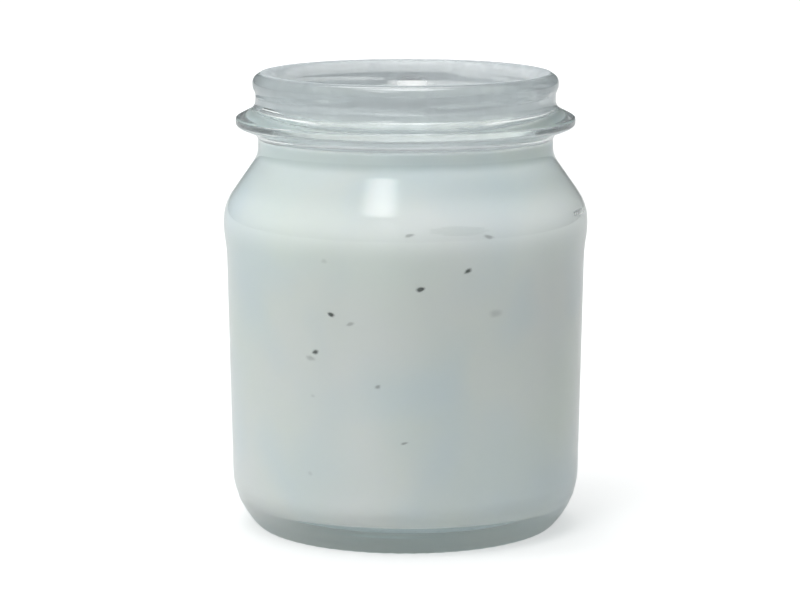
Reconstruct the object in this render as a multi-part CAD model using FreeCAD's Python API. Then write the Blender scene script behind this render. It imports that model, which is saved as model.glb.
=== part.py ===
import FreeCAD, Part
import math
import os

# Wide-mouth glass jar of kefir, open at the top, in millimetres.
#
# The jar is a turned form on +Z and stands on z = 0: a recessed base with a bearing ring, a rounded
# heel, a slightly tapered wall with a contact belt, a shoulder, a short neck, a transfer collar and a
# full-round sealing lip. The cavity follows the outside at one wall thickness up to a straight bore.
# The kefir fills that cavity to a level in the neck, so both pieces take their shape from the same
# cavity corners and meet face to face.
#
# Every half-section is drawn corner by corner as (radius, height, fillet radius).

# --- Overall ---
jar_height = 90.0
belt_diameter = 72.0

# --- Body, downwards from the belt: radial steps and heights ---
belt_relief = 0.6
belt_width = 4.8
belt_run_in = 4.0
body_taper = 1.05
heel_inset = 4.95
heel_height = 4.6

# --- Shoulder and neck: the neck stands inside the thread wall ---
shoulder_angle = 35.0
shoulder_top_below_rim = 16.2
neck_relief = 0.45

# --- Mouth finish: the diameter that a lid fits, then radial steps and heights ---
thread_wall_diameter = 59.1
finish_thickness = 3.55
lip_relief = 0.55
lip_height = 2.8
lip_run_in = 1.2

# --- Transfer collar ---
collar_below_rim = 9.45
collar_reach = 3.9
collar_edge_thickness = 1.6
collar_top_angle = 27.0
collar_underside_angle = 22.0

# --- Recessed base ---
bearing_ring_width = 2.2
push_up_height = 2.2
push_up_slope_run = 8.2

# --- Glass thickness of the body ---
wall_thickness = 2.5
base_thickness = 3.8

# --- Contents ---
fill_below_rim = 13.0

# --- Fillets ---
push_up_fillet = 12.0
bearing_ring_fillet = 0.8
toe_fillet = 1.5
heel_fillet = 15.0
belt_foot_fillet = 30.0
belt_fillet = 25.0
shoulder_fillet = 10.0
neck_fillet = 5.0
collar_root_fillet = 2.0
collar_edge_fillet = 0.8
lip_root_fillet = 2.0
lip_side_fillet = 1.5
floor_fillet = 5.5
cavity_neck_fillet = 6.0

# --- Sizes that follow from those above ---
belt_radius = belt_diameter / 2
body_top_radius = belt_radius - belt_relief
heel_radius = body_top_radius - body_taper
toe_radius = heel_radius - heel_inset
thread_wall_radius = thread_wall_diameter / 2
neck_radius = thread_wall_radius - neck_relief
lip_radius = thread_wall_radius + lip_relief
collar_radius = thread_wall_radius + collar_reach
bore_radius = thread_wall_radius - finish_thickness
shoulder_top_height = jar_height - shoulder_top_below_rim
collar_height = jar_height - collar_below_rim
fill_height = jar_height - fill_below_rim
floor_height = push_up_height + base_thickness

# Fillets that meet leave no line between them.
SHORTEST_EDGE = 1e-6


def shoulder_height_at(radius):
    """Height of the outside shoulder cone at a radius."""
    return shoulder_top_height - (radius - neck_radius) / math.tan(math.radians(shoulder_angle))


def cavity_shoulder_height_at(radius):
    """Height of the cavity's shoulder cone, one wall thickness inside the outer cone."""
    drop = wall_thickness / math.sin(math.radians(shoulder_angle))
    return shoulder_height_at(radius) - drop


def base_corners():
    """Underside from the axis outwards: recessed panel, slope and bearing ring."""
    ring_inner_radius = toe_radius - bearing_ring_width
    return [
        (0.0, push_up_height, 0.0),
        (ring_inner_radius - push_up_slope_run, push_up_height, push_up_fillet),
        (ring_inner_radius, 0.0, bearing_ring_fillet),
        (toe_radius, 0.0, toe_fillet),
    ]


def body_corners():
    """Outside wall upwards: heel, tapered body, contact belt and shoulder."""
    shoulder_foot = shoulder_height_at(belt_radius)
    belt_foot = shoulder_foot - belt_width
    return [
        (heel_radius, heel_height, heel_fillet),
        (body_top_radius, belt_foot - belt_run_in, belt_foot_fillet),
        (belt_radius, belt_foot, belt_fillet),
        (belt_radius, shoulder_foot, shoulder_fillet),
        (neck_radius, shoulder_top_height, neck_fillet),
    ]


def collar_corners():
    """Transfer collar upwards: sloped underside, rounded edge and sloped top."""
    edge_foot = collar_height - collar_edge_thickness / 2
    edge_top = collar_height + collar_edge_thickness / 2
    underside_rise = (collar_radius - neck_radius) * math.tan(math.radians(collar_underside_angle))
    top_rise = (collar_radius - thread_wall_radius) * math.tan(math.radians(collar_top_angle))
    return [
        (neck_radius, edge_foot - underside_rise, collar_root_fillet),
        (collar_radius, edge_foot, collar_edge_fillet),
        (collar_radius, edge_top, collar_edge_fillet),
        (thread_wall_radius, edge_top + top_rise, collar_root_fillet),
    ]


def lip_corners():
    """Sealing lip upwards and over to the bore, its top one full round."""
    lip_foot = jar_height - lip_height
    full_round = (lip_radius - bore_radius) / 2
    return [
        (thread_wall_radius, lip_foot - lip_run_in, lip_root_fillet),
        (lip_radius, lip_foot, lip_side_fillet),
        (lip_radius, jar_height, full_round),
        (bore_radius, jar_height, full_round),
    ]


def cavity_corners():
    """Cavity below the bore, downwards to the middle of the floor."""
    top_radius = belt_radius - wall_thickness
    foot_radius = heel_radius - wall_thickness
    return [
        (bore_radius, cavity_shoulder_height_at(bore_radius), cavity_neck_fillet),
        (top_radius, cavity_shoulder_height_at(top_radius), shoulder_fillet - wall_thickness),
        (foot_radius, floor_height, floor_fillet),
        (0.0, floor_height, 0.0),
    ]


def half_turn_tangent(before, corner, after):
    """Tangent of half the angle by which the outline turns at a corner."""
    return math.tan((corner - before).getAngle(after - corner) / 2)


def fillet_reaches(points, radii):
    """Length that each fillet takes from its two sides, shared out where a side is too short."""
    reaches = [0.0] * len(points)
    for i in range(1, len(points) - 1):
        reaches[i] = radii[i] * half_turn_tangent(*points[i - 1:i + 2])
    sides = [points[i].distanceToPoint(points[i + 1]) for i in range(len(points) - 1)]
    shares = [side / max(a + b, side) for side, a, b in zip(sides, reaches, reaches[1:])]
    for i in range(1, len(points) - 1):
        reaches[i] *= min(shares[i - 1], shares[i])
    return reaches


def fillet_arc(before, corner, after, reach):
    """Arc that leaves one side of a corner and meets the other, both at the same reach."""
    back = (before - corner).normalize()
    onward = (after - corner).normalize()
    radius = reach / half_turn_tangent(before, corner, after)
    middle_distance = math.hypot(radius, reach) - radius
    middle = corner + (back + onward).normalize() * middle_distance
    return Part.Arc(corner + back * reach, middle, corner + onward * reach).toShape()


def outline_edges(corners):
    """Lines between the corners, joined by the arcs of their fillets."""
    points = [FreeCAD.Vector(radius, 0.0, height) for radius, height, fillet in corners]
    reaches = fillet_reaches(points, [fillet for radius, height, fillet in corners])
    edges = []
    for i in range(len(points) - 1):
        onward = (points[i + 1] - points[i]).normalize()
        start = points[i] + onward * reaches[i]
        end = points[i + 1] - onward * reaches[i + 1]
        if start.distanceToPoint(end) > SHORTEST_EDGE:
            edges.append(Part.LineSegment(start, end).toShape())
        if reaches[i + 1] > 0:
            edges.append(fillet_arc(*points[i:i + 3], reaches[i + 1]))
    return edges


def turned_solid(corners):
    """Solid of revolution from a half-section whose two ends lie on the axis."""
    edges = outline_edges(corners)
    foot = FreeCAD.Vector(0.0, 0.0, corners[0][1])
    head = FreeCAD.Vector(0.0, 0.0, corners[-1][1])
    edges.append(Part.LineSegment(head, foot).toShape())
    section = Part.Face(Part.Wire(edges))
    return section.revolve(FreeCAD.Vector(0, 0, 0), FreeCAD.Vector(0, 0, 1), 360)


def glass_jar():
    """The glass: outside from the base to the lip, then back down the cavity."""
    outside = base_corners() + body_corners() + collar_corners() + lip_corners()
    return turned_solid(outside + cavity_corners())


def kefir():
    """The contents: the cavity cut off level at the fill height."""
    mouth = [(0.0, jar_height, 0.0), (bore_radius, jar_height, 0.0)]
    cavity = turned_solid(mouth + cavity_corners())
    below_the_level = Part.makeCylinder(belt_radius, fill_height)
    return cavity.common(below_the_level)


def main():
    os.makedirs("parts", exist_ok=True)
    for name, make in {"glass_jar": glass_jar, "kefir": kefir}.items():
        solid = make()
        solid.exportStep(f"parts/{name}.step")
        print(name, "volume", round(solid.Volume / 1000, 1), "ml, valid", solid.isValid())


main()
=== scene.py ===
"""Wide-mouth glass jar of kefir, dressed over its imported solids.

The jar and its contents are turned forms on +Z that stand on z = 0. Shapes are worked out in
millimetres as (radius, height) outlines, carried round the axis, given their relief along the
surface normal, and written to the meshes in metres. Angles run anticlockwise seen from above, and
the front of the jar is at -90 degrees.
"""

from __future__ import annotations

import logging
import math
from collections.abc import Mapping, Sequence
from dataclasses import astuple, dataclass
from enum import IntEnum

import bmesh
import bpy
import numpy as np
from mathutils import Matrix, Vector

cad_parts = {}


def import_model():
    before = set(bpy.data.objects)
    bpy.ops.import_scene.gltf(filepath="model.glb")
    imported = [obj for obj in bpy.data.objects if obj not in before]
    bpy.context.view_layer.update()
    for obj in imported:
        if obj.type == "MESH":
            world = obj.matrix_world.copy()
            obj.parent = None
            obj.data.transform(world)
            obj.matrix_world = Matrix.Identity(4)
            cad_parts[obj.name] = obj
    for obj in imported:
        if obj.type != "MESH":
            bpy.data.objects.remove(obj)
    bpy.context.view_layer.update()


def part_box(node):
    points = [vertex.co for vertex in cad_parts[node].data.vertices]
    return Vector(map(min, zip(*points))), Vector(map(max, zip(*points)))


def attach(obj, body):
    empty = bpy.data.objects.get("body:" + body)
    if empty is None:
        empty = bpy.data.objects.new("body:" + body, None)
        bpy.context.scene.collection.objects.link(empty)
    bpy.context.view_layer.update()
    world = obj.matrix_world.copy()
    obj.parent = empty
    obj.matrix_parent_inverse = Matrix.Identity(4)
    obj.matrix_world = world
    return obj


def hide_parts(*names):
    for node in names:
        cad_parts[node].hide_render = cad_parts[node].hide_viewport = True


LOG = logging.getLogger("jar_of_kefir")

METRES_PER_MM = 0.001
ML_PER_CUBIC_METRE = 1e6
FULL_TURN = 2 * math.pi
FRONT = -math.pi / 2
SHINE_SHARE = 0.35
CLOSEST_POINTS = 1e-9

FloatArray = np.ndarray
Corner = tuple[float, float, float]
Span = tuple[float, float]
Places = tuple[np.ndarray, np.ndarray, np.ndarray]
Shape = tuple[np.ndarray, list[list[int]]]
Socket = bpy.types.NodeSocket


# --- Shapes ---


def smooth_step(value: FloatArray, low: float, high: float) -> FloatArray:
    """Rises from 0 where value is low to 1 where it is high, along 3t^2 - 2t^3."""
    share = np.clip((value - low) / (high - low), 0.0, 1.0)
    return share * share * (3.0 - 2.0 * share)


def bump(distance: FloatArray, half_width: float) -> FloatArray:
    """A raised cosine: 1 where distance is 0, and 0 from half_width outwards."""
    share = np.clip(np.abs(distance) / half_width, 0.0, 1.0)
    return 0.5 + 0.5 * np.cos(math.pi * share)


@dataclass(frozen=True)
class Ripple:
    """A smooth uneven pattern round a turned form.

    It is a mean of cosines of (whole number x angle + rate x height + phase), so that it closes on
    itself after a full turn.
    """

    seed: int
    most_round: int
    shortest: float
    waves: int = 14

    def at(self, angle: FloatArray, height: FloatArray) -> FloatArray:
        """Values between about -1 and 1.

        Args:
            angle: Angles about the axis, in radians.
            height: Heights, or any other running length, in millimetres.

        Returns:
            The pattern, of the shape that angle and height broadcast to.
        """
        rng = np.random.default_rng(self.seed)
        rounds = rng.integers(0, self.most_round + 1, self.waves)
        rates = FULL_TURN / self.shortest * rng.uniform(0.15, 1.0, self.waves)
        phases = rng.uniform(0.0, FULL_TURN, self.waves)
        angle, height = np.broadcast_arrays(angle, height)
        turns = angle[..., None] * rounds + height[..., None] * rates + phases
        return np.cos(turns).sum(axis=-1) / math.sqrt(self.waves)


def rounded_outline(corners: Sequence[Corner], spacing: float = 0.1) -> FloatArray:
    """Points closely spaced along an outline whose corners are rounded.

    A fillet takes radius x tan(half the turn) from each of its two sides, and fillets that don't
    fit on a side share it in proportion. Its arc's points are the centre plus the radius in evenly
    turned directions.

    Args:
        corners: (radius, height, fillet) of each corner in order.
        spacing: Greatest distance between points.

    Returns:
        Array of (radius, height) rows.
    """
    points = np.array([corner[:2] for corner in corners])
    fillets = np.array([corner[2] for corner in corners])
    sides = np.diff(points, axis=0)
    lengths = np.hypot(sides[:, 0], sides[:, 1])
    along = sides / lengths[:, None]
    cross = along[:-1, 0] * along[1:, 1] - along[:-1, 1] * along[1:, 0]
    turns = np.arctan2(cross, (along[:-1] * along[1:]).sum(axis=1))
    reaches = np.zeros(len(points))
    reaches[1:-1] = fillets[1:-1] * np.tan(np.abs(turns) / 2)
    shares = lengths / np.maximum(reaches[:-1] + reaches[1:], lengths)
    reaches[1:-1] *= np.minimum(shares[:-1], shares[1:])

    runs = []
    for i, direction in enumerate(along):
        start = points[i] + direction * reaches[i]
        end = points[i + 1] - direction * reaches[i + 1]
        count = max(2, math.ceil(math.dist(start, end) / spacing) + 1)
        runs.append(np.linspace(start, end, count))
        if i < len(turns) and reaches[i + 1] > 0:
            turn = turns[i]
            radius = reaches[i + 1] / math.tan(abs(turn) / 2)
            inward = np.array([-direction[1], direction[0]]) * math.copysign(radius, turn)
            count = max(4, math.ceil(radius * abs(turn) / spacing) + 1)
            swept = np.linspace(0.0, turn, count)[:, None]
            sideways = np.array([-inward[1], inward[0]])
            runs.append(end + inward - np.cos(swept) * inward - np.sin(swept) * sideways)
    outline = np.concatenate(runs)
    moved = np.hypot(*np.diff(outline, axis=0).T) > CLOSEST_POINTS
    return outline[np.concatenate([[True], moved])]


def resampled(outline: FloatArray, spacing: FloatArray, turn: float = 0.11) -> FloatArray:
    """The same outline with its points spread by need.

    The count of points along a stretch is its length over the spacing plus its bend over turn.

    Args:
        outline: Closely spaced (radius, height) rows.
        spacing: Wanted distance between points, one value for each row.
        turn: Bend in radians that is worth one point.

    Returns:
        Array of (radius, height) rows from the first point to the last.
    """
    steps = np.diff(outline, axis=0)
    lengths = np.hypot(steps[:, 0], steps[:, 1])
    heading = np.unwrap(np.arctan2(steps[:, 1], steps[:, 0]))
    bend = np.abs(np.gradient(heading))
    need = lengths / ((spacing[:-1] + spacing[1:]) / 2) + bend / turn
    reach = np.concatenate([[0.0], np.cumsum(need)])
    stations = np.linspace(0.0, reach[-1], math.ceil(reach[-1]) + 1)
    return np.column_stack([np.interp(stations, reach, outline[:, axis]) for axis in (0, 1)])


def outward_normals(outline: FloatArray) -> FloatArray:
    """Unit normals to the right of an outline, which is outwards on a path up the outside."""
    tangent = np.gradient(outline, axis=0)
    normal = np.column_stack([tangent[:, 1], -tangent[:, 0]])
    return normal / np.hypot(normal[:, 0], normal[:, 1])[:, None]


def even_angles(columns: int) -> FloatArray:
    """Angles of even columns round the axis."""
    return np.arange(columns) * FULL_TURN / columns


def quads_between(below: FloatArray, above: FloatArray) -> FloatArray:
    """Quads all the way round between rows of vertex numbers and the rows above them."""
    corners = [below, np.roll(below, -1, axis=1), np.roll(above, -1, axis=1), above]
    return np.stack(corners, axis=-1).reshape(-1, 4)


def capped_faces(rows: int, columns: int) -> list[list[int]]:
    """Faces of a closed form made of one end vertex, rows of columns and another end vertex.

    Args:
        rows: How many rows lie between the end vertices.
        columns: How many vertices each row has.

    Returns:
        The first end's triangles, quads row by row and the last end's triangles.
    """
    index = 1 + np.arange(rows * columns).reshape(rows, columns)
    onward = np.roll(index, -1, axis=1)
    start = np.column_stack([np.zeros(columns, int), onward[0], index[0]])
    end = np.column_stack([index[-1], onward[-1], np.full(columns, rows * columns + 1)])
    return start.tolist() + quads_between(index[:-1], index[1:]).tolist() + end.tolist()


@dataclass
class TurnedSurface:
    """A grid carried round the axis: outline rows by angle columns, in millimetres."""

    radius: FloatArray
    height: FloatArray
    angles: FloatArray

    @classmethod
    def from_outline(
        cls, outline: FloatArray, angles: FloatArray, relief: FloatArray | float = 0.0
    ) -> TurnedSurface:
        """Carries an outline round and lifts it along its normals.

        Args:
            outline: (radius, height) rows.
            angles: Column angles in radians.
            relief: Lift in millimetres, as a rows by columns array or one number.

        Returns:
            The surface.
        """
        normal = outward_normals(outline)
        lift = np.broadcast_to(relief, (len(outline), len(angles)))
        radius = outline[:, :1] + normal[:, :1] * lift
        height = outline[:, 1:] + normal[:, 1:] * lift
        return cls(radius, height, angles)

    def positions(self) -> FloatArray:
        """Rows by columns by (x, y, z): radius x cosine, radius x sine and height, in metres."""
        x = self.radius * np.cos(self.angles)
        y = self.radius * np.sin(self.angles)
        return np.stack([x, y, self.height], axis=-1) * METRES_PER_MM

    def closed_ring(self) -> Shape:
        """Vertices and faces of a shell whose last row meets its first, such as a thin sleeve."""
        vertices = self.positions().reshape(-1, 3)
        index = np.arange(len(vertices)).reshape(self.radius.shape)
        return vertices, quads_between(index, np.roll(index, -1, axis=0)).tolist()

    def closed_body(self) -> Shape:
        """Vertices and faces of a form whose first and last rows are points on the axis."""
        grid = self.positions()
        ends = grid[[0, -1]].mean(axis=1) * (0.0, 0.0, 1.0)
        inner = grid[1:-1]
        vertices = np.concatenate([ends[:1], inner.reshape(-1, 3), ends[1:]])
        return vertices, capped_faces(*inner.shape[:2])


def signed_volume_ml(mesh: bpy.types.Mesh) -> float:
    """Volume that a closed mesh encloses, positive where its faces point outwards."""
    solid = bmesh.new()
    solid.from_mesh(mesh)
    volume = solid.calc_volume(signed=True) * ML_PER_CUBIC_METRE
    solid.free()
    return volume


def make_piece(
    name: str,
    shape: Shape,
    finishes: Sequence[bpy.types.Material],
    shares: Mapping[str, FloatArray] | None = None,
    finish_of_face: FloatArray | None = None,
) -> bpy.types.Object:
    """Puts a worked-out shape into a smooth mesh object at the origin.

    Args:
        name: Name of the piece.
        shape: Its vertices in metres, and its faces.
        finishes: Materials for its slots.
        shares: Numbers per vertex that a material reads by name.
        finish_of_face: Slot number of each face, where there is more than one finish.

    Returns:
        The new object, linked to the scene.
    """
    vertices, faces = shape
    mesh = bpy.data.meshes.new(name)
    mesh.from_pydata(vertices.tolist(), [], faces)
    mesh.shade_smooth()
    for share_name, values in (shares or {}).items():
        attribute = mesh.attributes.new(share_name, "FLOAT", "POINT")
        attribute.data.foreach_set("value", np.ascontiguousarray(values, dtype=np.float32))
    for finish in finishes:
        mesh.materials.append(finish)
    if finish_of_face is not None:
        mesh.polygons.foreach_set("material_index", finish_of_face.astype(np.int32))
    mesh.validate()
    piece = bpy.data.objects.new(name, mesh)
    bpy.context.scene.collection.objects.link(piece)
    return piece


# --- Finishes ---


def linear_colour(srgb_hex: str) -> tuple[float, float, float, float]:
    """Turns an sRGB hex colour such as #D9E0DC into the linear colour that shaders take.

    Args:
        srgb_hex: The colour as written.

    Returns:
        Linear red, green and blue, and an alpha of 1.
    """
    parts = [int(srgb_hex[i : i + 2], 16) / 255 for i in (1, 3, 5)]
    red, green, blue = (p / 12.92 if p <= 0.04045 else ((p + 0.055) / 1.055) ** 2.4 for p in parts)
    return red, green, blue, 1.0


def scale_for(size_mm: float) -> float:
    """Texture scale on Object coordinates whose features are about size_mm across."""
    return 1.0 / (size_mm * METRES_PER_MM)


class MixSocket(IntEnum):
    """Sockets of the colour mix, which Blender numbers because their names repeat."""

    FIRST = 6
    SECOND = 7
    RESULT = 2


@dataclass(frozen=True)
class Graph:
    """A node tree, with short ways to add the nodes that the finishes share."""

    tree: bpy.types.NodeTree

    @classmethod
    def emptied(cls, owner: bpy.types.Material | bpy.types.World | bpy.types.Light) -> Graph:
        """The cleared node tree of a material, world or lamp."""
        owner.use_nodes = True
        owner.node_tree.nodes.clear()
        return cls(owner.node_tree)

    def add(
        self, kind: str, inputs: Mapping[str | int, object] | None = None, **settings: object
    ) -> bpy.types.Node:
        """Adds one node.

        Args:
            kind: Blender's name for the kind of node, without ShaderNode.
            inputs: Its inputs by name or number: a socket is linked, any other value is set.
            settings: The node's own properties.

        Returns:
            The node.
        """
        node = self.tree.nodes.new(f"ShaderNode{kind}")
        for name, setting in settings.items():
            setattr(node, name, setting)
        for key, source in (inputs or {}).items():
            if isinstance(source, Socket):
                self.tree.links.new(source, node.inputs[key])
            else:
                node.inputs[key].default_value = source
        return node

    def place(self) -> Socket:
        """Where a point lies on its piece, in metres."""
        return self.add("TexCoord").outputs["Object"]

    def vertex_share(self, name: str) -> Socket:
        """The numbers that the mesh holds for its vertices under a name."""
        return self.add("Attribute", attribute_name=name).outputs["Fac"]

    def maths(self, operation: str, *operands: object, clamp: bool = False) -> Socket:
        """Result of one operation on numbers and sockets, kept from 0 to 1 if asked."""
        inputs = dict(enumerate(operands))
        node = self.add("Math", inputs, operation=operation, use_clamp=clamp)
        return node.outputs["Value"]

    def spread(
        self,
        value: Socket,
        span: Span = (0.0, 1.0),
        onto: tuple[object, object] = (0.0, 1.0),
        smooth: bool = False,
    ) -> Socket:
        """Carries values of one span over to another and holds them at its ends.

        Args:
            value: The values.
            span: Where they start and end.
            onto: What the start and the end become, as numbers or sockets.
            smooth: Whether to ease in and out.

        Returns:
            The new values.
        """
        ends = {"From Min": span[0], "From Max": span[1], "To Min": onto[0], "To Max": onto[1]}
        course = "SMOOTHSTEP" if smooth else "LINEAR"
        node = self.add("MapRange", {"Value": value, **ends}, interpolation_type=course)
        return node.outputs["Result"]

    def noise(
        self,
        place: Socket,
        size_mm: float,
        detail: float = 2.0,
        roughness: float = 0.5,
        distortion: float = 0.0,
    ) -> Socket:
        """Soft random values from 0 to 1.

        Args:
            place: Where to read them.
            size_mm: About how wide one patch is.
            detail: How many finer patterns lie over the first.
            roughness: How strong each is beside the one before.
            distortion: How far the pattern is drawn out of shape.

        Returns:
            The values.
        """
        inputs = {"Detail": detail, "Roughness": roughness, "Distortion": distortion}
        node = self.add("TexNoise", {"Vector": place, "Scale": scale_for(size_mm), **inputs})
        return node.outputs["Fac"]

    def relief(self, height: Socket, depth_mm: float, strength: float = 1.0) -> Socket:
        """Normals of a surface whose heights from 0 to 1 stand for a depth in millimetres."""
        inputs = {"Height": height, "Distance": depth_mm * METRES_PER_MM, "Strength": strength}
        return self.add("Bump", inputs).outputs["Normal"]

    def mixed_colours(
        self, share: object, first: object, second: object, how: str = "MIX"
    ) -> Socket:
        """Two colours, linear or from sockets, with the second one over the first by a share."""
        inputs = {"Factor": share, MixSocket.FIRST: first, MixSocket.SECOND: second}
        node = self.add("Mix", inputs, data_type="RGBA", blend_type=how)
        return node.outputs[MixSocket.RESULT]

    def mixed_shaders(self, share: object, first: Socket, second: Socket) -> Socket:
        """Two shaders, with the second one in place of the first by a share."""
        return self.add("MixShader", dict(enumerate((share, first, second)))).outputs["Shader"]

    def seen_by_eye(self) -> Socket:
        """How much a ray shows: 1 straight or through glass, less in shine, and 0 for lighting."""
        rays = self.add("LightPath").outputs
        seen = self.maths("MULTIPLY", rays["Is Glossy Ray"], SHINE_SHARE)
        for kind in ("Is Camera Ray", "Is Transmission Ray"):
            seen = self.maths("MAXIMUM", seen, rays[kind])
        return seen


@dataclass(frozen=True)
class SodaLimeGlass:
    """Soda-lime container glass, pressed and blown in an iron mould.

    It is clear and bright-edged, with a slight grey-green where it is thick and the faint orange
    peel of the mould in its reflections.
    """

    tint: str = "#FBFCFB"
    lamp_tint: str = "#E4E7E6"
    depth_tint: str = "#89C5C4"
    depth_per_metre: float = 8.0
    ior: float = 1.52
    roughness: float = 0.10
    peel_size: float = 3.5
    peel_depth: float = 0.006

    def material(self) -> bpy.types.Material:
        """Glass that lets lamps through to what it holds, over a plain absorbing volume."""
        material = bpy.data.materials.new("soda_lime_glass_moulded")
        graph = Graph.emptied(material)
        peel = graph.noise(graph.place(), self.peel_size, detail=1.5, roughness=0.4)
        glass = graph.add(
            "BsdfPrincipled",
            {
                "Base Color": linear_colour(self.tint),
                "Roughness": self.roughness,
                "IOR": self.ior,
                "Transmission Weight": 1.0,
                "Normal": graph.relief(peel, self.peel_depth),
            },
        )
        lamps_pass = graph.add("BsdfTransparent", {"Color": linear_colour(self.lamp_tint)})
        surface = graph.mixed_shaders(
            graph.add("LightPath").outputs["Is Shadow Ray"],
            glass.outputs["BSDF"],
            lamps_pass.outputs["BSDF"],
        )
        depth = graph.add(
            "VolumeAbsorption",
            {"Color": linear_colour(self.depth_tint), "Density": self.depth_per_metre},
        )
        graph.add("OutputMaterial", {"Surface": surface, "Volume": depth.outputs["Volume"]})
        return material


@dataclass(frozen=True)
class CulturedMilk:
    """Kefir: cultured milk, thick and opaque.

    It is a soft cool white clouded by whey and curd, in faint level bands of colour that also hold
    painted light: lighter at the foot and on the shoulder, darker on the neck as a painted shadow
    of the collar, and lighter at the level. It has no shine of its own against the glass, and its
    open surface is wet.
    """

    # Colour stops by height in millimetres. The lighter stop at the foot is painted light against
    # the shade near the floor. The stops at 50 and 57 are the plain curd. The lighter band from 64
    # to 72.6 is painted light from above on the shoulder, partly a creamier layer. The darker band
    # from 74.6 to 76.4 is a painted shadow of the collar on the neck. The lighter stop at 77.6 is
    # painted light on the meniscus at the level.
    layers_and_painted_light: tuple[tuple[float, str], ...] = (
        (2.0, "#F1F3F2"),
        (50.0, "#E7E9E7"),
        (57.0, "#E6E9E7"),
        (64.0, "#F7F8F8"),
        (72.6, "#F7F8F8"),
        (74.6, "#E3E7E6"),
        (76.4, "#E3E7E6"),
        (77.6, "#F2F4F3"),
    )
    full_height: float = 80.0
    layer_wave: float = 4.0
    curd: str = "#FFFFFF"
    whey: str = "#FBFFFA"
    shade: str = "#F4FBFF"
    cloud_size: float = 34.0
    cloud_span: Span = (0.35, 0.68)
    streak_size: float = 20.4
    streak_span: Span = (0.42, 0.75)
    grain_size: float = 2.2
    grain_depth: float = 0.05
    glass_side_grain: float = 0.03
    fat_scatter: float = 0.25
    scatter_reach: float = 0.8
    scatter_by_colour: tuple[float, float, float] = (1.0, 1.0, 0.9)
    wet_ior: float = 1.35
    glass_side_ior: float = 1.08
    wet_roughness: float = 0.16
    glass_side_roughness: float = 0.5

    def set_colours_by_height(self, ramp: bpy.types.ColorRamp) -> None:
        """Puts the colours by height, painted light and shade among them, on a ramp from floor to
        full height.
        """
        ramp.interpolation = "EASE"
        while len(ramp.elements) < len(self.layers_and_painted_light):
            ramp.elements.new(1.0)
        for stop, (height, colour) in zip(ramp.elements, self.layers_and_painted_light):
            stop.position = height / self.full_height
            stop.color = linear_colour(colour)

    def colour(self, graph: Graph, place: Socket) -> Socket:
        """The colours by height, painted light and shade among them, times the tints of clouds and
        streaks.

        Args:
            graph: Nodes of the finish.
            place: Where a point lies on the piece.

        Returns:
            The colour. The clouds also bend the bands by height up and down, the painted ones too.
        """
        clouds = graph.noise(place, self.cloud_size, roughness=0.45)
        streaks = graph.noise(place, self.streak_size, detail=1.0, distortion=0.4)
        curd, whey, shade = map(linear_colour, (self.curd, self.whey, self.shade))
        tint = graph.mixed_colours(graph.spread(clouds, self.cloud_span), curd, whey)
        tint = graph.mixed_colours(graph.spread(streaks, self.streak_span), tint, shade)
        height = graph.add("SeparateXYZ", {"Vector": place}).outputs["Z"]
        wave = self.layer_wave * METRES_PER_MM
        bent = graph.maths("MULTIPLY_ADD", clouds, wave, height)
        span = (wave / 2, wave / 2 + self.full_height * METRES_PER_MM)
        # Painted light and shade by height: lighter foot, shoulder and level, and a painted collar
        # shadow on the neck.
        colours_by_height = graph.add("ValToRGB", {"Fac": graph.spread(bent, span)})
        self.set_colours_by_height(colours_by_height.color_ramp)
        return graph.mixed_colours(1.0, colours_by_height.outputs["Color"], tint, "MULTIPLY")

    def material(self, wet: bool) -> bpy.types.Material:
        """The finish of one side of the kefir.

        Args:
            wet: Whether it is the open surface; otherwise it is the side that lies on glass.

        Returns:
            The material.
        """
        name = "cultured_milk_open" if wet else "cultured_milk_on_glass"
        material = bpy.data.materials.new(name)
        graph = Graph.emptied(material)
        place = graph.place()
        grain = graph.noise(place, self.grain_size, detail=3.0)
        strength = 1.0 if wet else self.glass_side_grain
        milk = graph.add(
            "BsdfPrincipled",
            {
                "Base Color": self.colour(graph, place),
                "Roughness": self.wet_roughness if wet else self.glass_side_roughness,
                "IOR": self.wet_ior if wet else self.glass_side_ior,
                "Subsurface Weight": self.fat_scatter,
                "Subsurface Scale": self.scatter_reach * METRES_PER_MM,
                "Subsurface Radius": self.scatter_by_colour,
                "Normal": graph.relief(grain, self.grain_depth, strength),
            },
        )
        graph.add("OutputMaterial", {"Surface": milk.outputs["BSDF"]})
        return material


@dataclass(frozen=True)
class MilkHaze:
    """The thin coat of kefir that clings to the glass above the level.

    It veils the neck in a cool translucent grey, with soft runs where it drained.
    """

    milk: str = "#E4E9EC"
    lit_through: float = 0.4
    streak_size: float = 1.6
    streak_length: float = 9.0
    streak_share: float = 0.06

    def material(self) -> bpy.types.Material:
        """A matt milky coat, see-through by the piece's cover values and fine runs."""
        material = bpy.data.materials.new("cultured_milk_haze")
        graph = Graph.emptied(material)
        stretch = (1.0, 1.0, self.streak_size / self.streak_length)
        stretched = graph.add("Mapping", {"Vector": graph.place(), "Scale": stretch})
        runs = graph.noise(stretched.outputs["Vector"], self.streak_size)
        uneven = graph.spread(runs, onto=(1.0 - self.streak_share, 1.0 + self.streak_share))
        cover = graph.maths("MULTIPLY", graph.vertex_share(MilkFilm.COVER), uneven, clamp=True)
        colour = {"Color": linear_colour(self.milk)}
        lit = graph.add("BsdfDiffuse", colour).outputs["BSDF"]
        glow = graph.add("BsdfTranslucent", colour).outputs["BSDF"]
        clear = graph.add("BsdfTransparent").outputs["BSDF"]
        coat = graph.mixed_shaders(self.lit_through, lit, glow)
        graph.add("OutputMaterial", {"Surface": graph.mixed_shaders(cover, clear, coat)})
        return material


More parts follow.
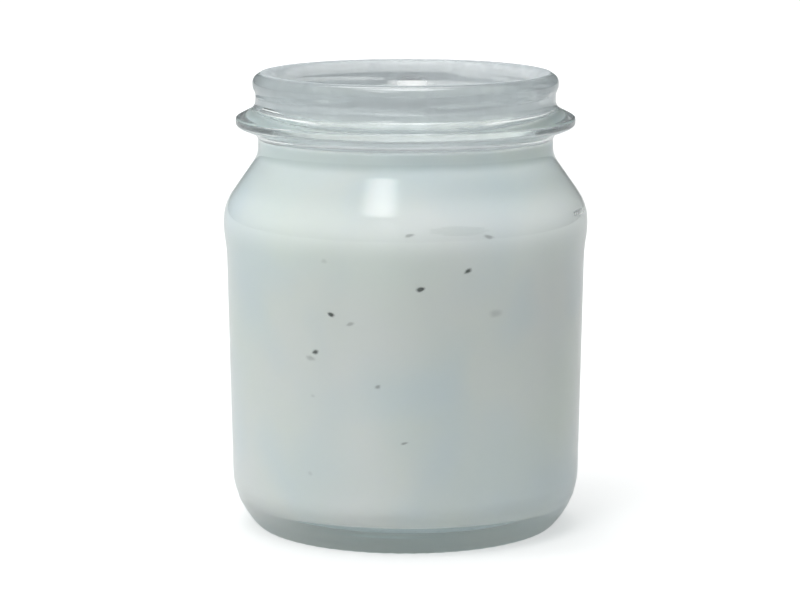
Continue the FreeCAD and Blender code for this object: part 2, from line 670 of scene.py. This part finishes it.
@dataclass(frozen=True)
class HerbFleck:
    """Dark grey-green bits in the milk, wet and dull.

    The milk that laps over them softens their edges and pales the deeper ones.
    """

    dark: str = "#4C514D"
    pale: str = "#6F7672"
    mottle_size: float = 0.5
    roughness: float = 0.6
    ior: float = 1.1

    def material(self) -> bpy.types.Material:
        """A dull mottled finish that fades out where milk covers the fleck."""
        material = bpy.data.materials.new("herb_fleck_in_milk")
        graph = Graph.emptied(material)
        mottle = graph.noise(graph.place(), self.mottle_size)
        colour = graph.mixed_colours(mottle, linear_colour(self.dark), linear_colour(self.pale))
        fleck = graph.add(
            "BsdfPrincipled",
            {
                "Base Color": colour,
                "Roughness": self.roughness,
                "IOR": self.ior,
                "Alpha": graph.vertex_share(KefirFlecks.BARE),
            },
        )
        graph.add("OutputMaterial", {"Surface": fleck.outputs["BSDF"]})
        return material


@dataclass(frozen=True)
class MattPaper:
    """Seamless white studio paper: plain, dull and bright, with the jar's shadow on it.

    Its own glow lights nothing. It rises from near_glow under the jar towards far_glow, as the
    lamps fall off, so that the paper stays white to its edge. Its dip to near_glow close to the jar
    is painted shade, a darker foot that shows around the jar and through its glass base.
    """

    paper: str = "#CCCECE"
    near_glow: float = 0.47
    far_glow: float = 1.0
    fade: float = 0.38

    def material(self) -> bpy.types.Material:
        """Lit paper with a glow of far - (far - near) x exp(-distance / fade); its dip near the jar
        is painted shade.
        """
        material = bpy.data.materials.new("seamless_white_paper")
        graph = Graph.emptied(material)
        lit = graph.add("BsdfDiffuse", {"Color": linear_colour(self.paper)})
        distance = graph.add("VectorMath", {0: graph.place()}, operation="LENGTH").outputs["Value"]
        # Painted shade: the glow dips towards near_glow close to the jar.
        painted_shade_share = graph.maths("EXPONENT", graph.maths("DIVIDE", distance, -self.fade))
        glow_here = graph.spread(painted_shade_share, onto=(self.far_glow, self.near_glow))
        strength = graph.maths("MULTIPLY", graph.seen_by_eye(), glow_here)
        glow = graph.add("Emission", {"Strength": strength})
        both = graph.add("AddShader", {0: lit.outputs["BSDF"], 1: glow.outputs["Emission"]})
        graph.add("OutputMaterial", {"Surface": both.outputs["Shader"]})
        return material


# --- The jar ---


@dataclass(frozen=True)
class JarSizes:
    """Sizes of the turned forms in millimetres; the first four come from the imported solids."""

    height: float
    belt_radius: float
    fill_height: float
    floor_height: float
    belt_relief: float = 0.6
    belt_width: float = 4.8
    belt_run_in: float = 4.0
    body_taper: float = 1.05
    heel_inset: float = 4.95
    heel_height: float = 4.6
    shoulder_angle: float = math.radians(35.0)
    shoulder_top_below_rim: float = 16.2
    neck_relief: float = 0.45
    thread_wall_radius: float = 29.55
    finish_thickness: float = 3.55
    lip_relief: float = 0.55
    lip_height: float = 2.8
    lip_run_in: float = 1.2
    collar_below_rim: float = 9.45
    collar_reach: float = 3.9
    collar_edge_thickness: float = 1.6
    collar_top_angle: float = math.radians(27.0)
    collar_underside_angle: float = math.radians(22.0)
    bearing_ring_width: float = 2.2
    push_up_height: float = 2.2
    push_up_slope_run: float = 8.2
    wall: float = 2.5
    push_up_fillet: float = 12.0
    bearing_ring_fillet: float = 0.8
    toe_fillet: float = 1.5
    heel_fillet: float = 15.0
    belt_foot_fillet: float = 30.0
    belt_fillet: float = 25.0
    shoulder_fillet: float = 10.0
    neck_fillet: float = 5.0
    collar_root_fillet: float = 2.0
    collar_edge_fillet: float = 0.8
    lip_root_fillet: float = 2.0
    lip_side_fillet: float = 1.5
    floor_fillet: float = 5.5
    cavity_neck_fillet: float = 6.0
    shoulder_fillet_gain: float = 16.0
    floor_fillet_loss: float = 4.0

    @classmethod
    def from_frame(cls) -> JarSizes:
        """Reads the overall sizes, the level and the cavity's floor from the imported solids."""
        low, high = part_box("glass_jar")
        floor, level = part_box("kefir")
        widest = max(-low.x, high.x, -low.y, high.y)
        return cls(
            height=high.z / METRES_PER_MM,
            belt_radius=widest / METRES_PER_MM,
            fill_height=level.z / METRES_PER_MM,
            floor_height=floor.z / METRES_PER_MM,
        )

    @property
    def heel_radius(self) -> float:
        """Outside radius where the tapered wall meets the heel."""
        return self.belt_radius - self.belt_relief - self.body_taper

    @property
    def toe_radius(self) -> float:
        """Outside radius of the bearing ring."""
        return self.heel_radius - self.heel_inset

    @property
    def neck_radius(self) -> float:
        """Outside radius of the neck below the collar."""
        return self.thread_wall_radius - self.neck_relief

    @property
    def bore_radius(self) -> float:
        """Inside radius of the mouth and neck."""
        return self.thread_wall_radius - self.finish_thickness

    @property
    def lip_round(self) -> float:
        """Radius of the full round on top of the lip."""
        return (self.finish_thickness + self.lip_relief) / 2

    @property
    def lip_crest_radius(self) -> float:
        """Radius at which the lip is highest."""
        return self.bore_radius + self.lip_round

    def shoulder_height(self, radius: float, inset: float = 0.0) -> float:
        """Height of the shoulder cone at a radius.

        Args:
            radius: Where to read it.
            inset: How far inside the outer cone, square to it.

        Returns:
            The height.
        """
        top = self.height - self.shoulder_top_below_rim
        drop = (radius - self.neck_radius) / math.tan(self.shoulder_angle)
        return top - drop - inset / math.sin(self.shoulder_angle)

    def outside_corners(self) -> list[Corner]:
        """The outside from the middle of the underside up to the crest of the lip."""
        ring_inner = self.toe_radius - self.bearing_ring_width
        body_top = self.belt_radius - self.belt_relief
        shoulder_foot = self.shoulder_height(self.belt_radius)
        belt_foot = shoulder_foot - self.belt_width
        collar = self.height - self.collar_below_rim
        edge_foot = collar - self.collar_edge_thickness / 2
        edge_top = collar + self.collar_edge_thickness / 2
        collar_radius = self.thread_wall_radius + self.collar_reach
        underside = (collar_radius - self.neck_radius) * math.tan(self.collar_underside_angle)
        topside = self.collar_reach * math.tan(self.collar_top_angle)
        lip_foot = self.height - self.lip_height
        lip_radius = self.thread_wall_radius + self.lip_relief
        return [
            (0.0, self.push_up_height, 0.0),
            (ring_inner - self.push_up_slope_run, self.push_up_height, self.push_up_fillet),
            (ring_inner, 0.0, self.bearing_ring_fillet),
            (self.toe_radius, 0.0, self.toe_fillet),
            (self.heel_radius, self.heel_height, self.heel_fillet),
            (body_top, belt_foot - self.belt_run_in, self.belt_foot_fillet),
            (self.belt_radius, belt_foot, self.belt_fillet),
            (self.belt_radius, shoulder_foot, self.shoulder_fillet),
            (self.neck_radius, self.shoulder_height(self.neck_radius), self.neck_fillet),
            (self.neck_radius, edge_foot - underside, self.collar_root_fillet),
            (collar_radius, edge_foot, self.collar_edge_fillet),
            (collar_radius, edge_top, self.collar_edge_fillet),
            (self.thread_wall_radius, edge_top + topside, self.collar_root_fillet),
            (self.thread_wall_radius, lip_foot - self.lip_run_in, self.lip_root_fillet),
            (lip_radius, lip_foot, self.lip_side_fillet),
            (lip_radius, self.height, self.lip_round),
            (self.lip_crest_radius, self.height, 0.0),
        ]

    def mouth_corners(self) -> list[Corner]:
        """The crest of the lip and the rounded edge of the bore."""
        return [
            (self.lip_crest_radius, self.height, 0.0),
            (self.bore_radius, self.height, self.lip_round),
        ]

    def cavity_corners(self, into_wall: float = 0.0) -> list[Corner]:
        """The cavity from the bore down to the middle of the floor.

        Args:
            into_wall: How far outside the true cavity. The shoulder's fillet grows and the floor's
                shrinks by their gain and loss for each millimetre.

        Returns:
            The corners.
        """
        bore = self.bore_radius + into_wall
        top = self.belt_radius - self.wall + into_wall
        foot = self.heel_radius - self.wall + into_wall
        floor = self.floor_height - into_wall
        inset = self.wall - into_wall
        neck_fillet = self.cavity_neck_fillet - into_wall
        top_fillet = self.shoulder_fillet - self.wall + self.shoulder_fillet_gain * into_wall
        floor_fillet = self.floor_fillet - self.floor_fillet_loss * into_wall
        return [
            (bore, self.shoulder_height(bore, inset), neck_fillet),
            (top, self.shoulder_height(top, inset), top_fillet),
            (foot, floor, floor_fillet),
            (0.0, floor, 0.0),
        ]

    def wall_radius_at(self, height: FloatArray, into_wall: float) -> FloatArray:
        """Radius of the cavity's side at given heights, moved into the wall by a distance."""
        outline = rounded_outline(self.cavity_corners(into_wall))[::-1]
        side = outline[outline[:, 0] > self.heel_radius / 2]
        return np.interp(height, side[:, 1], side[:, 0])


@dataclass
class GlassJar:
    """The jar itself: one closed shell of glass with its moulded and blown relief."""

    sizes: JarSizes
    finish: SodaLimeGlass
    columns: int = 220
    lug_count: int = 4
    first_lug_from_front: float = math.radians(-85.0)
    lug_sweep: float = math.radians(68.0)
    lug_start_below_rim: float = 4.3
    lug_rise: float = 1.1
    lug_width: float = 1.6
    lug_depth: float = 0.5
    lug_taper: float = math.radians(12.0)
    seam_width: float = 0.5
    seam_depth: float = 0.04
    seam_clear_of_belt: float = 3.0
    seam_gone_height: float = 60.0
    side_start: Span = (1.0, 6.0)
    mouth_start: Span = (3.0, 1.0)
    outside_wave: float = 0.03
    outside_ripple: Ripple = Ripple(seed=3, most_round=7, shortest=9.0)
    inside_wave: float = 0.10
    inside_ripple: Ripple = Ripple(seed=12, most_round=6, shortest=14.0)
    inside_fade: Span = (6.0, 2.5)
    heel_wave: float = 0.12
    heel_ripple: Ripple = Ripple(seed=5, most_round=5, shortest=1.9)
    heel_rise: Span = (0.6, 2.0)
    heel_fade: Span = (6.0, 11.0)
    underside_wave: float = 0.22
    underside_ripple: Ripple = Ripple(seed=8, most_round=4, shortest=2.6)
    underside_edge: Span = (4.0, 2.4)
    underside_play: float = 0.1
    knurl_count: int = 66
    knurl_depth: float = 0.12
    knurl_height: float = 1.0
    widest_row: float = 1.5
    finish_row_saving: float = 1.15
    finish_row_run: float = 3.0
    foot_row_saving: float = 0.85
    foot_row_run: Span = (8.0, 14.0)

    def angles(self) -> FloatArray:
        """Even columns, plus a few close ones across each of the two mould seams."""
        close = np.array([-0.5, -0.25, 0.25, 0.5]) * self.seam_width / self.sizes.belt_radius
        seams = np.array([[0.0], [math.pi]])
        at_seams = (seams + close) % FULL_TURN
        return np.unique(np.concatenate([even_angles(self.columns), at_seams.ravel()]))

    def lugs(self, angles: FloatArray, height: FloatArray) -> FloatArray:
        """Thread lugs: raised cosines about helical lines that climb to the right.

        The share of a turn within a lug gives the height of its middle line, and both its ends
        taper off.

        Args:
            angles: Angles about the axis, in radians.
            height: Heights in millimetres.

        Returns:
            Millimetres out of the wall.
        """
        pitch = FULL_TURN / self.lug_count
        swept = (angles - FRONT - self.first_lug_from_front) % pitch
        climbed = self.lug_rise * np.clip(swept / self.lug_sweep, 0.0, 1.0)
        middle = self.sizes.height - self.lug_start_below_rim + climbed
        ends = smooth_step(np.minimum(swept, self.lug_sweep - swept), 0.0, self.lug_taper)
        return self.lug_depth * ends * bump(height - middle, self.lug_width / 2)

    def waves(self, where: Places) -> FloatArray:
        """The blown wall's waves on the side, on the heel and on the underside.

        The first two only sink into the glass, by depth x (1/2 - ripple / 3), so that the jar
        keeps its size.

        Args:
            where: Radii and heights of the rows in millimetres, and the angles.

        Returns:
            Millimetres into the wall.
        """
        radius, height, angles = where
        s = self.sizes
        below_rim = (s.height - end for end in self.mouth_start)
        on_side = smooth_step(height, *self.side_start)
        on_side = on_side * (1.0 - smooth_step(height, *below_rim))
        on_heel = smooth_step(height, *self.heel_rise)
        on_heel = on_heel * (1.0 - smooth_step(height, *self.heel_fade))
        panel_edge = (s.toe_radius - inset for inset in self.underside_edge)
        on_panel = 1.0 - smooth_step(radius, *panel_edge)
        on_panel = on_panel * (height < s.push_up_height + self.underside_play)
        sunk = self.outside_wave * (0.5 - self.outside_ripple.at(angles, height) / 3) * on_side
        sunk += self.heel_wave * (0.5 - self.heel_ripple.at(angles, height) / 3) * on_heel
        sunk -= self.underside_wave * self.underside_ripple.at(angles, radius) / 2 * on_panel
        return sunk

    def seams(self, where: Places) -> FloatArray:
        """The two mould seams up the sides, left out across the belt.

        Args:
            where: Radii and heights of the rows in millimetres, and the angles.

        Returns:
            Millimetres out of the wall.
        """
        radius, height, angles = where
        s = self.sizes
        shoulder_foot = s.shoulder_height(s.belt_radius)
        belt_foot = shoulder_foot - s.belt_width
        distance = radius * np.sin(np.minimum(angles % math.pi, -angles % math.pi))
        seam = bump(distance, self.seam_width / 2) * smooth_step(height, *self.side_start)
        on_belt = smooth_step(height, belt_foot - self.seam_clear_of_belt, self.seam_gone_height)
        on_belt = on_belt * (height < shoulder_foot + self.seam_clear_of_belt)
        return self.seam_depth * seam * (1.0 - on_belt)

    def knurls(self, where: Places) -> FloatArray:
        """The grooves across the bearing ring, as a cosine round it.

        Args:
            where: Radii and heights of the rows in millimetres, and the angles.

        Returns:
            Millimetres into the wall.
        """
        radius, height, angles = where
        s = self.sizes
        ring_middle = s.toe_radius - s.bearing_ring_width / 2
        on_ring = bump(radius - ring_middle, s.bearing_ring_width) * (height < self.knurl_height)
        return self.knurl_depth * on_ring * (0.5 - 0.5 * np.cos(self.knurl_count * angles))

    def outside_relief(self, outline: FloatArray, angles: FloatArray) -> FloatArray:
        """Lugs and seams, less the waves and knurls.

        Args:
            outline: (radius, height) rows.
            angles: Angles about the axis, in radians.

        Returns:
            Millimetres along the normals, rows by columns.
        """
        where = outline[:, :1], outline[:, 1:], angles
        raised = self.lugs(angles, outline[:, 1:]) + self.seams(where)
        return raised - self.waves(where) - self.knurls(where)

    def inside_relief(self, outline: FloatArray, angles: FloatArray) -> FloatArray:
        """Waves of the free-blown inside, which fade out over the lip.

        Args:
            outline: (radius, height) rows.
            angles: Angles about the axis, in radians.

        Returns:
            Millimetres along the normals, rows by columns.
        """
        height = outline[:, 1:]
        below_rim = (self.sizes.height - end for end in self.inside_fade)
        fade = 1.0 - smooth_step(height, *below_rim)
        return self.inside_wave * self.inside_ripple.at(angles, height) / 2 * fade

    def spacing(self, outline: FloatArray) -> FloatArray:
        """Wanted distance between rows.

        Args:
            outline: (radius, height) rows.

        Returns:
            Small distances on the finish and near the foot, and wide ones on plain walls.
        """
        height = outline[:, 1]
        level = self.sizes.fill_height
        finish = smooth_step(height, level, level + self.finish_row_run)
        foot = 1.0 - smooth_step(height, *self.foot_row_run)
        return self.widest_row - self.finish_row_saving * finish - self.foot_row_saving * foot

    def build(self) -> bpy.types.Object:
        """Makes the shell from the outside and inside outlines, which meet on the lip's crest."""
        outside = rounded_outline(self.sizes.outside_corners())
        inside = rounded_outline(self.sizes.mouth_corners() + self.sizes.cavity_corners())
        outside = resampled(outside, self.spacing(outside))
        inside = resampled(inside, self.spacing(inside))
        angles = self.angles()
        relief = np.concatenate(
            [self.outside_relief(outside, angles), self.inside_relief(inside[1:], angles)]
        )
        surface = TurnedSurface.from_outline(np.concatenate([outside, inside[1:]]), angles, relief)
        piece = make_piece("jar_glass", surface.closed_body(), [self.finish.material()])
        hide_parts("glass_jar")
        return piece


# --- The contents ---


@dataclass
class Kefir:
    """The drink: fills the cavity to its level and reaches just into the glass."""

    sizes: JarSizes
    finish: CulturedMilk
    columns: int = 192
    into_wall: float = 0.25
    climb: float = 0.8
    climb_width: float = 1.3
    dome: float = 0.25
    raised: float = 0.1
    top_wave: float = 0.18
    ripple: Ripple = Ripple(seed=21, most_round=5, shortest=16.0, waves=18)
    still_edge: Span = (0.5, 5.0)
    still_middle: Span = (0.0, 8.0)
    side_row: float = 1.1
    top_rows: int = 46
    crowding_to_edge: float = 1.6

    def side_outline(self) -> FloatArray:
        """From the middle of the floor outwards and up to where the milk climbs the glass."""
        reach = self.into_wall
        top = (self.sizes.bore_radius + reach, self.sizes.fill_height + self.climb, 0.0)
        outline = rounded_outline([top] + self.sizes.cavity_corners(reach))[::-1]
        return resampled(outline, np.full(len(outline), self.side_row))

    def top_outline(self) -> FloatArray:
        """From the glass inwards to the axis.

        Height is the level, plus the climb falling off exponentially with distance from the
        glass, plus a slight dome as cosine of the share of the radius.
        """
        edge = self.sizes.bore_radius + self.into_wall
        share = np.linspace(0.0, 1.0, self.top_rows) ** self.crowding_to_edge
        radius = edge * (1.0 - share)
        climb = self.climb * np.exp(-(edge - radius) / self.climb_width)
        dome = self.dome * (np.cos(radius / edge * math.pi / 2) - 1.0)
        return np.column_stack([radius, self.sizes.fill_height + climb + dome + self.raised])

    def build(self) -> bpy.types.Object:
        """Makes the body with a finish for the side on glass and one for the open surface."""
        side, top = self.side_outline(), self.top_outline()
        angles = even_angles(self.columns)
        radius = top[1:, :1]
        waves = self.ripple.at(angles, radius) / 2
        waves *= smooth_step(self.sizes.bore_radius - radius, *self.still_edge)
        waves *= smooth_step(radius, *self.still_middle)
        relief = np.concatenate([np.zeros((len(side), self.columns)), self.top_wave * waves])
        outline = np.concatenate([side, top[1:]])
        shape = TurnedSurface.from_outline(outline, angles, relief).closed_body()
        side_faces = self.columns * (len(side) - 1)
        finish_of_face = (np.arange(len(shape[1])) >= side_faces).astype(np.int32)
        finishes = [self.finish.material(wet=False), self.finish.material(wet=True)]
        piece = make_piece("kefir_body", shape, finishes, finish_of_face=finish_of_face)
        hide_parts("kefir")
        return piece


@dataclass
class MilkFilm:
    """The coat of kefir left on the inside of the neck and mouth: a thin closed sleeve."""

    COVER = "cover"

    sizes: JarSizes
    finish: MilkHaze
    columns: int = 192
    into_wall: float = 0.05
    thickness: float = 0.12
    top_angle: float = math.radians(105.0)
    cover: float = 0.56
    ring_cover: float = -0.54
    ring_above_level: float = 3.2
    ring_width: float = 5.4
    clear_from_front: float = math.radians(177.0)
    clear_width: float = 9.0
    clear_below_rim: float = 4.6
    clear_height: float = 3.4
    clear_least: float = 0.25
    clear_edge: Span = (0.3, 1.3)
    runs: Ripple = Ripple(seed=31, most_round=40, shortest=60.0, waves=24)
    run_share: float = 0.06
    starts_below_level: float = 0.4
    straight_rows: int = 26
    round_rows: int = 12

    def path(self) -> FloatArray:
        """Up the bore from just under the level and round the inner edge of the lip."""
        s = self.sizes
        edge = s.height - s.lip_round
        turned = np.linspace(0.0, self.top_angle, self.round_rows)[1:, None]
        round_centre = np.array([s.lip_crest_radius, edge])
        arc = round_centre + s.lip_round * np.hstack([-np.cos(turned), np.sin(turned)])
        foot = (s.bore_radius, s.fill_height - self.starts_below_level)
        straight = np.linspace(foot, (s.bore_radius, edge), self.straight_rows)
        return np.concatenate([straight, arc])

    def cover_at(self, angles: FloatArray, height: FloatArray) -> FloatArray:
        """Share of the glass that the coat hides.

        It is an even veil with soft runs, thinner in a ring above the level, and it has drained off
        one patch on the far side.

        Args:
            angles: Angles about the axis, in radians.
            height: Heights in millimetres.

        Returns:
            The shares, of the shape that angles and height broadcast to.
        """
        s = self.sizes
        ring = bump(height - s.fill_height - self.ring_above_level, self.ring_width / 2)
        veil = self.cover * (1.0 + self.run_share * self.runs.at(angles, height))
        veil = veil + self.ring_cover * ring
        across = (angles - FRONT - self.clear_from_front + math.pi) % FULL_TURN - math.pi
        along = height - (s.height - self.clear_below_rim)
        reach = np.hypot(across * s.bore_radius / self.clear_width, along / self.clear_height) * 2
        kept = self.clear_least + (1.0 - self.clear_least) * smooth_step(reach, *self.clear_edge)
        return np.clip(veil * kept, 0.0, 1.0)

    def build(self) -> bpy.types.Object:
        """Makes the sleeve from one path offset both ways along its normals."""
        path = self.path()
        into_cavity = -outward_normals(path)
        outer = path - into_cavity * self.into_wall
        inner = (path + into_cavity * self.thickness)[::-1]
        outline = np.concatenate([outer, inner])
        surface = TurnedSurface.from_outline(outline, even_angles(self.columns))
        cover = self.cover_at(surface.angles[None, :], surface.height)
        shares = {self.COVER: cover.ravel()}
        piece = make_piece("milk_film", surface.closed_ring(), [self.finish.material()], shares)
        return piece


@dataclass(frozen=True)
class Fleck:
    """One bit in the milk: degrees from the front, height, length, width, tilt and strength."""

    turn: float
    height: float
    length: float
    width: float
    tilt: float
    strength: float


@dataclass
class KefirFlecks:
    """Bits that float against the glass: small lens-shaped flakes with uneven edges."""

    BARE = "bare"

    sizes: JarSizes
    finish: HerbFleck
    rings: int = 5
    spokes: int = 16
    thickness: float = 0.16
    into_wall: float = 0.28
    edge_cosines: int = 3
    unevenness: float = 0.13
    milk_over_edge: Span = (0.35, 1.0)
    scattered: int = 32
    scattered_from: Fleck = Fleck(95.0, 13.0, 1.2, 0.5, -40.0, 0.1)
    scattered_to: Fleck = Fleck(265.0, 66.0, 2.4, 1.2, 40.0, 1.0)
    paling: float = 1.5
    seed: int = 47

    @staticmethod
    def shown() -> list[Fleck]:
        """The bits on the front of the jar."""
        return [
            Fleck(4.6, 52.3, 2.1, 1.0, 20.0, 1.0),
            Fleck(20.0, 55.6, 2.1, 1.0, 22.0, 0.75),
            Fleck(-24.6, 47.0, 1.9, 0.9, -18.0, 0.95),
            Fleck(-18.0, 45.4, 2.0, 0.9, 10.0, 0.3),
            Fleck(-30.5, 39.5, 1.8, 1.0, 5.0, 0.7),
            Fleck(-32.4, 38.2, 2.3, 1.3, -15.0, 0.22),
            Fleck(-9.1, 33.5, 1.5, 0.9, 12.0, 0.35),
            Fleck(-0.5, 22.6, 1.9, 0.5, 14.0, 0.4),
            Fleck(1.1, 62.4, 2.2, 0.8, 5.0, 0.25),
            Fleck(27.0, 61.7, 2.4, 0.9, -8.0, 0.3),
            Fleck(30.0, 47.0, 3.0, 2.0, 10.0, 0.16),
            Fleck(-31.7, 30.9, 1.0, 0.8, 0.0, 0.12),
            Fleck(-26.6, 57.3, 1.6, 0.9, 0.0, 0.12),
            Fleck(-33.4, 15.6, 1.5, 0.9, 0.0, 0.1),
        ]

    def all_flecks(self) -> FloatArray:
        """The shown bits and others like them over the rest of the wall, one row of sizes each."""
        rng = np.random.default_rng(self.seed)
        spans = zip(astuple(self.scattered_from), astuple(self.scattered_to))
        others = np.column_stack([rng.uniform(*span, self.scattered) for span in spans])
        others[:, -1] **= self.paling
        return np.concatenate([[astuple(fleck) for fleck in self.shown()], others])

    def grid(self) -> FloatArray:
        """Every flake's surface at once.

        The rows run from the middle of the side on the milk over the rim to the middle of the side
        on the glass. A flake's edge is a circle whose radius swings by a few cosines, stretched to
        its length and width and turned by its tilt. Its thickness falls off as the square root of
        (1 - share^2), and it is laid on the wall: along the wall by arc length, outwards by radius.

        Returns:
            Flakes by rows by spokes by (x, y, z, how bare of milk), in millimetres.
        """
        flecks = self.all_flecks()
        turn, height, length, width, tilt, strength = flecks.T[..., None, None]
        rng = np.random.default_rng(self.seed + 1)
        phases = rng.uniform(0.0, FULL_TURN, (self.edge_cosines, len(flecks), 1, 1))
        spokes = even_angles(self.spokes)
        waves = (np.cos((n + 1) * spokes + phase) / n for n, phase in enumerate(phases, 1))
        share = np.linspace(0.0, 1.0, self.rings + 1)
        share = np.concatenate([share, share[-2::-1]])[:, None]
        reach = share * (1.0 + self.unevenness * sum(waves))
        across, up = reach * np.cos(spokes) * length / 2, reach * np.sin(spokes) * width / 2
        lean = np.radians(tilt)
        along = across * np.cos(lean) - up * np.sin(lean)
        level = height + across * np.sin(lean) + up * np.cos(lean)
        side = np.sign(np.arange(len(share)) - self.rings)[:, None]
        lift = side * self.thickness / 2 * np.sqrt(1.0 - share**2)
        radius = self.sizes.wall_radius_at(level, self.into_wall) + lift
        middle_radius = self.sizes.wall_radius_at(height, self.into_wall)
        angle = FRONT + np.radians(turn) + along / middle_radius
        bare = strength * (1.0 - smooth_step(share, *self.milk_over_edge))
        bare = np.broadcast_to(bare, level.shape)
        return np.stack([radius * np.cos(angle), radius * np.sin(angle), level, bare], axis=-1)

    def build(self) -> bpy.types.Object:
        """Makes the flakes, with one vertex in the middle of each side."""
        grid = self.grid()
        count, rows, spokes, values = grid.shape
        between = grid[:, 1:-1].reshape(count, -1, values)
        flakes = np.concatenate([grid[:, 0, :1], between, grid[:, -1, :1]], axis=1)
        each = flakes.shape[1]
        one = capped_faces(rows - 2, spokes)
        starts = range(0, count * each, each)
        faces = [[start + corner for corner in face] for start in starts for face in one]
        flat = flakes.reshape(-1, values)
        shape = flat[:, :3] * METRES_PER_MM, faces
        shares = {self.BARE: flat[:, 3]}
        piece = make_piece("kefir_flecks", shape, [self.finish.material()], shares)
        return piece


# --- The studio ---


@dataclass(frozen=True)
class Softbox:
    """A soft rectangular lamp that faces the jar, placed by bearing and elevation in degrees.

    One that is not seen in the glass lights the jar, and no mirror image or bent view of it shows.
    """

    name: str
    from_front: float
    elevation: float
    distance: float
    width: float
    length: float
    power: float
    seen_in_glass: bool = True
    aim_height: float = 0.05
    falloff: Span = (0.1, 0.5)
    middle_strength: float = 2.2

    def build(self) -> bpy.types.Object:
        """Adds the lamp: its place is distance x (cos e sin b, -cos e cos b, sin e)."""
        lamp = bpy.data.lights.new(self.name, "AREA")
        lamp.shape = "RECTANGLE"
        lamp.size, lamp.size_y = self.width, self.length
        lamp.energy = self.power
        self.soften(lamp)
        bearing, rise = math.radians(self.from_front), math.radians(self.elevation)
        softbox = bpy.data.objects.new(self.name, lamp)
        softbox.location = (
            self.distance * math.cos(rise) * math.sin(bearing),
            -self.distance * math.cos(rise) * math.cos(bearing),
            self.distance * math.sin(rise) + self.aim_height,
        )
        softbox.rotation_euler = (math.pi / 2 - rise, 0.0, bearing)
        softbox.visible_glossy = softbox.visible_transmission = self.seen_in_glass
        bpy.context.scene.collection.objects.link(softbox)
        return softbox

    def soften(self, lamp: bpy.types.AreaLight) -> None:
        """Dims the lamp smoothly from its middle to its edges, as cloth over a bulb does."""
        graph = Graph.emptied(lamp)
        place = graph.add("NewGeometry").outputs["Parametric"]
        off_middle = graph.add("VectorMath", {0: place, 1: (0.5, 0.5, 0.0)}, operation="DISTANCE")
        strength = graph.spread(
            off_middle.outputs["Value"], self.falloff, (self.middle_strength, 0.0), smooth=True
        )
        light = graph.add("Emission", {"Strength": strength})
        graph.add("OutputLight", {"Surface": light.outputs["Emission"]})


@dataclass
class Studio:
    """White paper, soft lamps, a pale room that brightens upwards, and the camera."""

    paper: MattPaper
    floor_half: float = 2.6
    room_colour: str = "#E9EDF1"
    room_light: float = 0.02
    room_seen_low: float = 0.30
    room_seen_high: float = 1.0
    camera_distance: float = 0.640
    camera_height: float = 0.1505
    camera_side: float = -0.0011
    camera_pitch: float = math.radians(9.39)
    lens: float = 146.9
    sensor_width: float = 36.0
    nearest_seen: float = 0.01

    @staticmethod
    def softboxes() -> list[Softbox]:
        """A small key that the collar mirrors, wide lamps overhead and behind, and unseen fills."""
        return [
            Softbox("key_softbox", -25.5, 60.0, 0.9, 0.38, 0.28, 0.8),
            Softbox("top_softbox", 0.0, 89.0, 1.1, 1.0, 1.0, 10.2),
            Softbox("high_softbox", -25.0, 56.0, 1.2, 0.8, 0.8, 3.4, seen_in_glass=False),
            Softbox("left_softbox", -80.0, 22.0, 1.2, 0.8, 0.8, 6.5, seen_in_glass=False),
            Softbox("front_softbox", -30.0, 25.0, 1.2, 0.8, 0.8, 1.8, seen_in_glass=False),
            Softbox("back_softbox", -172.0, 60.0, 1.4, 1.1, 0.6, 5.0),
        ]

    def floor(self) -> bpy.types.Object:
        """A flat sheet of paper under the jar."""
        half = self.floor_half
        corners = np.array([(-half, -half, 0), (half, -half, 0), (half, half, 0), (-half, half, 0)])
        sheet = make_piece("studio_floor", (corners, [[0, 1, 2, 3]]), [self.paper.material()])
        return sheet

    def room(self) -> None:
        """Cool light from all round that shows more than it lights, and brightens upwards."""
        world = bpy.data.worlds.new("studio_room")
        graph = Graph.emptied(world)
        direction = graph.add("TexCoord").outputs["Generated"]
        upwards = graph.add("SeparateXYZ", {"Vector": direction}).outputs["Z"]
        seen_here = graph.spread(upwards, onto=(self.room_seen_low, self.room_seen_high))
        strength = graph.spread(graph.seen_by_eye(), onto=(self.room_light, seen_here))
        colour = linear_colour(self.room_colour)
        room = graph.add("Background", {"Color": colour, "Strength": strength})
        graph.add("OutputWorld", {"Surface": room.outputs["Background"]})
        bpy.context.scene.world = world

    def camera(self) -> bpy.types.Object:
        """A long lens in front of the jar, looking slightly down."""
        data = bpy.data.cameras.new("studio_camera")
        data.lens = self.lens
        data.sensor_width = self.sensor_width
        data.clip_start = self.nearest_seen
        camera = bpy.data.objects.new("studio_camera", data)
        camera.location = (self.camera_side, -self.camera_distance, self.camera_height)
        camera.rotation_euler = (math.pi / 2 - self.camera_pitch, 0.0, 0.0)
        bpy.context.scene.collection.objects.link(camera)
        bpy.context.scene.camera = camera
        return camera

    def build(self) -> None:
        """Sets up the whole studio."""
        self.floor()
        self.room()
        for softbox in self.softboxes():
            softbox.build()
        self.camera()
        bpy.context.scene.view_settings.view_transform = "Standard"


def main() -> None:
    """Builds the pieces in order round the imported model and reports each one."""
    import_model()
    sizes = JarSizes.from_frame()
    builders = [
        GlassJar(sizes, SodaLimeGlass()),
        Kefir(sizes, CulturedMilk()),
        MilkFilm(sizes, MilkHaze()),
        KefirFlecks(sizes, HerbFleck()),
    ]
    for builder in builders:
        piece = builder.build()
        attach(piece, "root")
        mesh = piece.data
        volume = signed_volume_ml(mesh)
        LOG.info("%s: %d faces, %.2f ml", piece.name, len(mesh.polygons), volume)
    Studio(MattPaper()).build()


if __name__ == "__main__":
    logging.basicConfig(level=logging.INFO)
    main()
